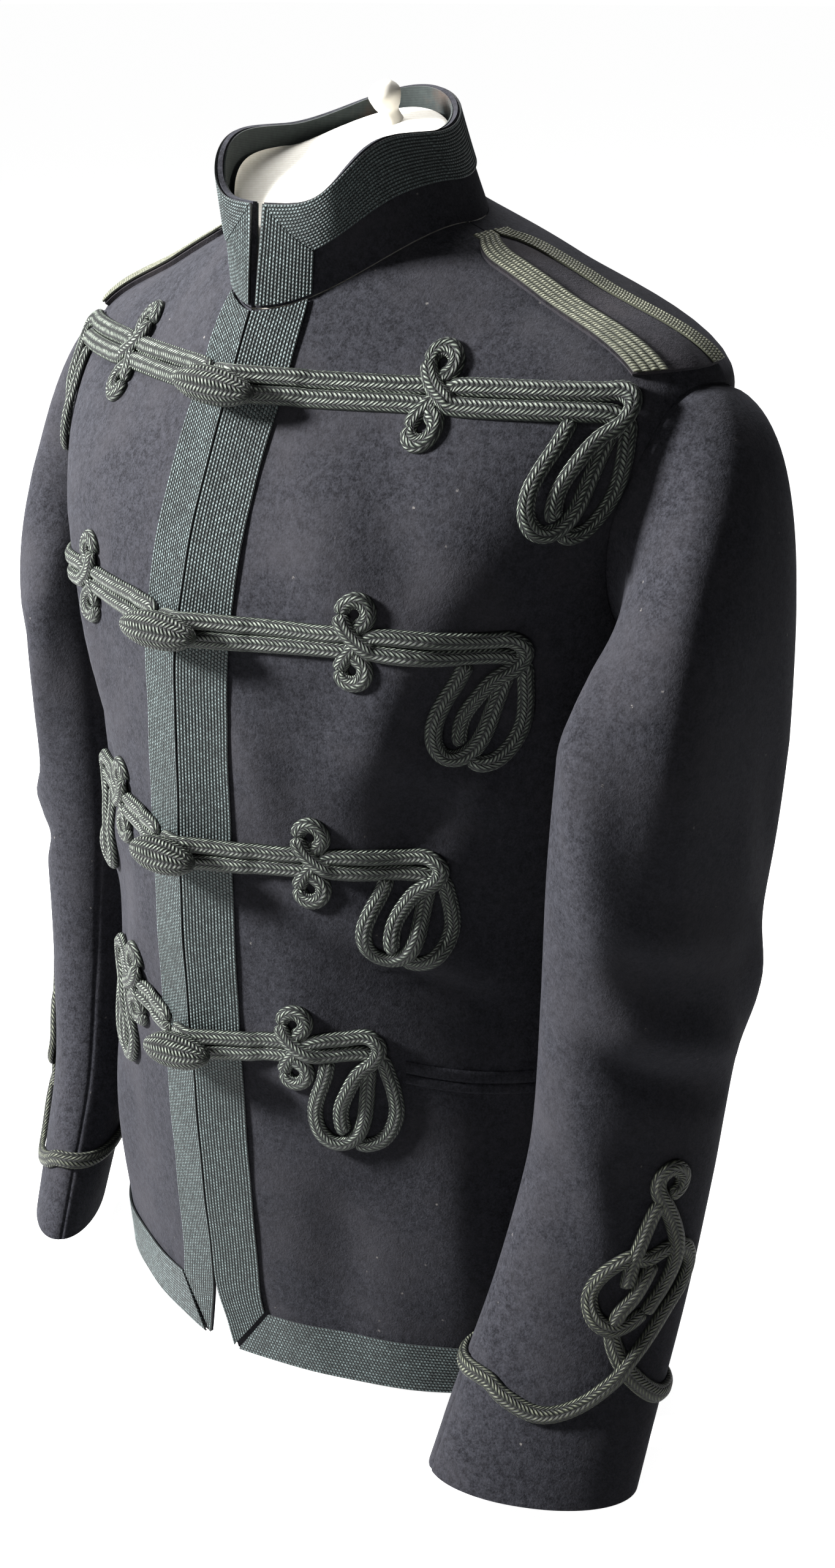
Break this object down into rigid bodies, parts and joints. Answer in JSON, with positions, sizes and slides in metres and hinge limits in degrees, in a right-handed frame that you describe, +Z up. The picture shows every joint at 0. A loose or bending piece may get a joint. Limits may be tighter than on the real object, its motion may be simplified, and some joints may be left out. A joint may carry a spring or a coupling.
{
  "type": "patrol jacket on a dress form",
  "caption": "Dark wool stand-collar patrol jacket with looped cord frogging, toggles and mohair braid edges, on a limbless table-top dress form.",
  "frame": {"origin": "on the table, at the middle of the round foot's underside", "axes": "+Z up, the jacket's front faces -Y, and the wearer's left is +X"},
  "size_m": [0.5428, 0.3063, 0.7465],
  "materials": {
    "wool": "felted wool cloth, matt",
    "braid": "ribbed mohair braid, soft sheen",
    "cord": "plaited cord, soft sheen",
    "khaki_braid": "faded flat braid, matt",
    "lining": "worn cotton lining",
    "linen": "cream linen, matt",
    "painted_wood": "painted, satin"
  },
  "bodies": {
    "root": {"front_left": "wool", "front_right": "wool", "back_left": "wool", "back_right": "wool", "sleeve_top_left": "wool", "sleeve_under_left": "wool", "sleeve_top_right": "wool", "sleeve_under_right": "wool", "collar": "wool", "shoulder_strap_left": "wool", "shoulder_strap_right": "wool", "pocket_upper_welt_left": "wool", "pocket_lower_welt_left": "wool", "pocket_upper_welt_right": "wool", "pocket_lower_welt_right": "wool", "collar_braid": "braid", "collar_strip_left": "braid", "collar_strip_right": "braid", "front_braid_left": "braid", "front_braid_right": "braid", "hem_braid": "braid", "frog_1_left": "cord", "frog_1_right": "cord", "frog_2_left": "cord", "frog_2_right": "cord", "frog_3_left": "cord", "frog_3_right": "cord", "frog_4_left": "cord", "frog_4_right": "cord", "cuff_knot_left": "cord", "cuff_knot_right": "cord", "toggle_1": "cord", "toggle_2": "cord", "toggle_3": "cord", "toggle_4": "cord", "strap_braid_front_left": "khaki_braid", "strap_braid_front_right": "khaki_braid", "strap_braid_back_left": "khaki_braid", "strap_braid_back_right": "khaki_braid", "collar_lining": "lining", "dress_form": "linen", "form_finial": "painted_wood", "form_foot": "painted_wood"}
  },
  "joints": []
}
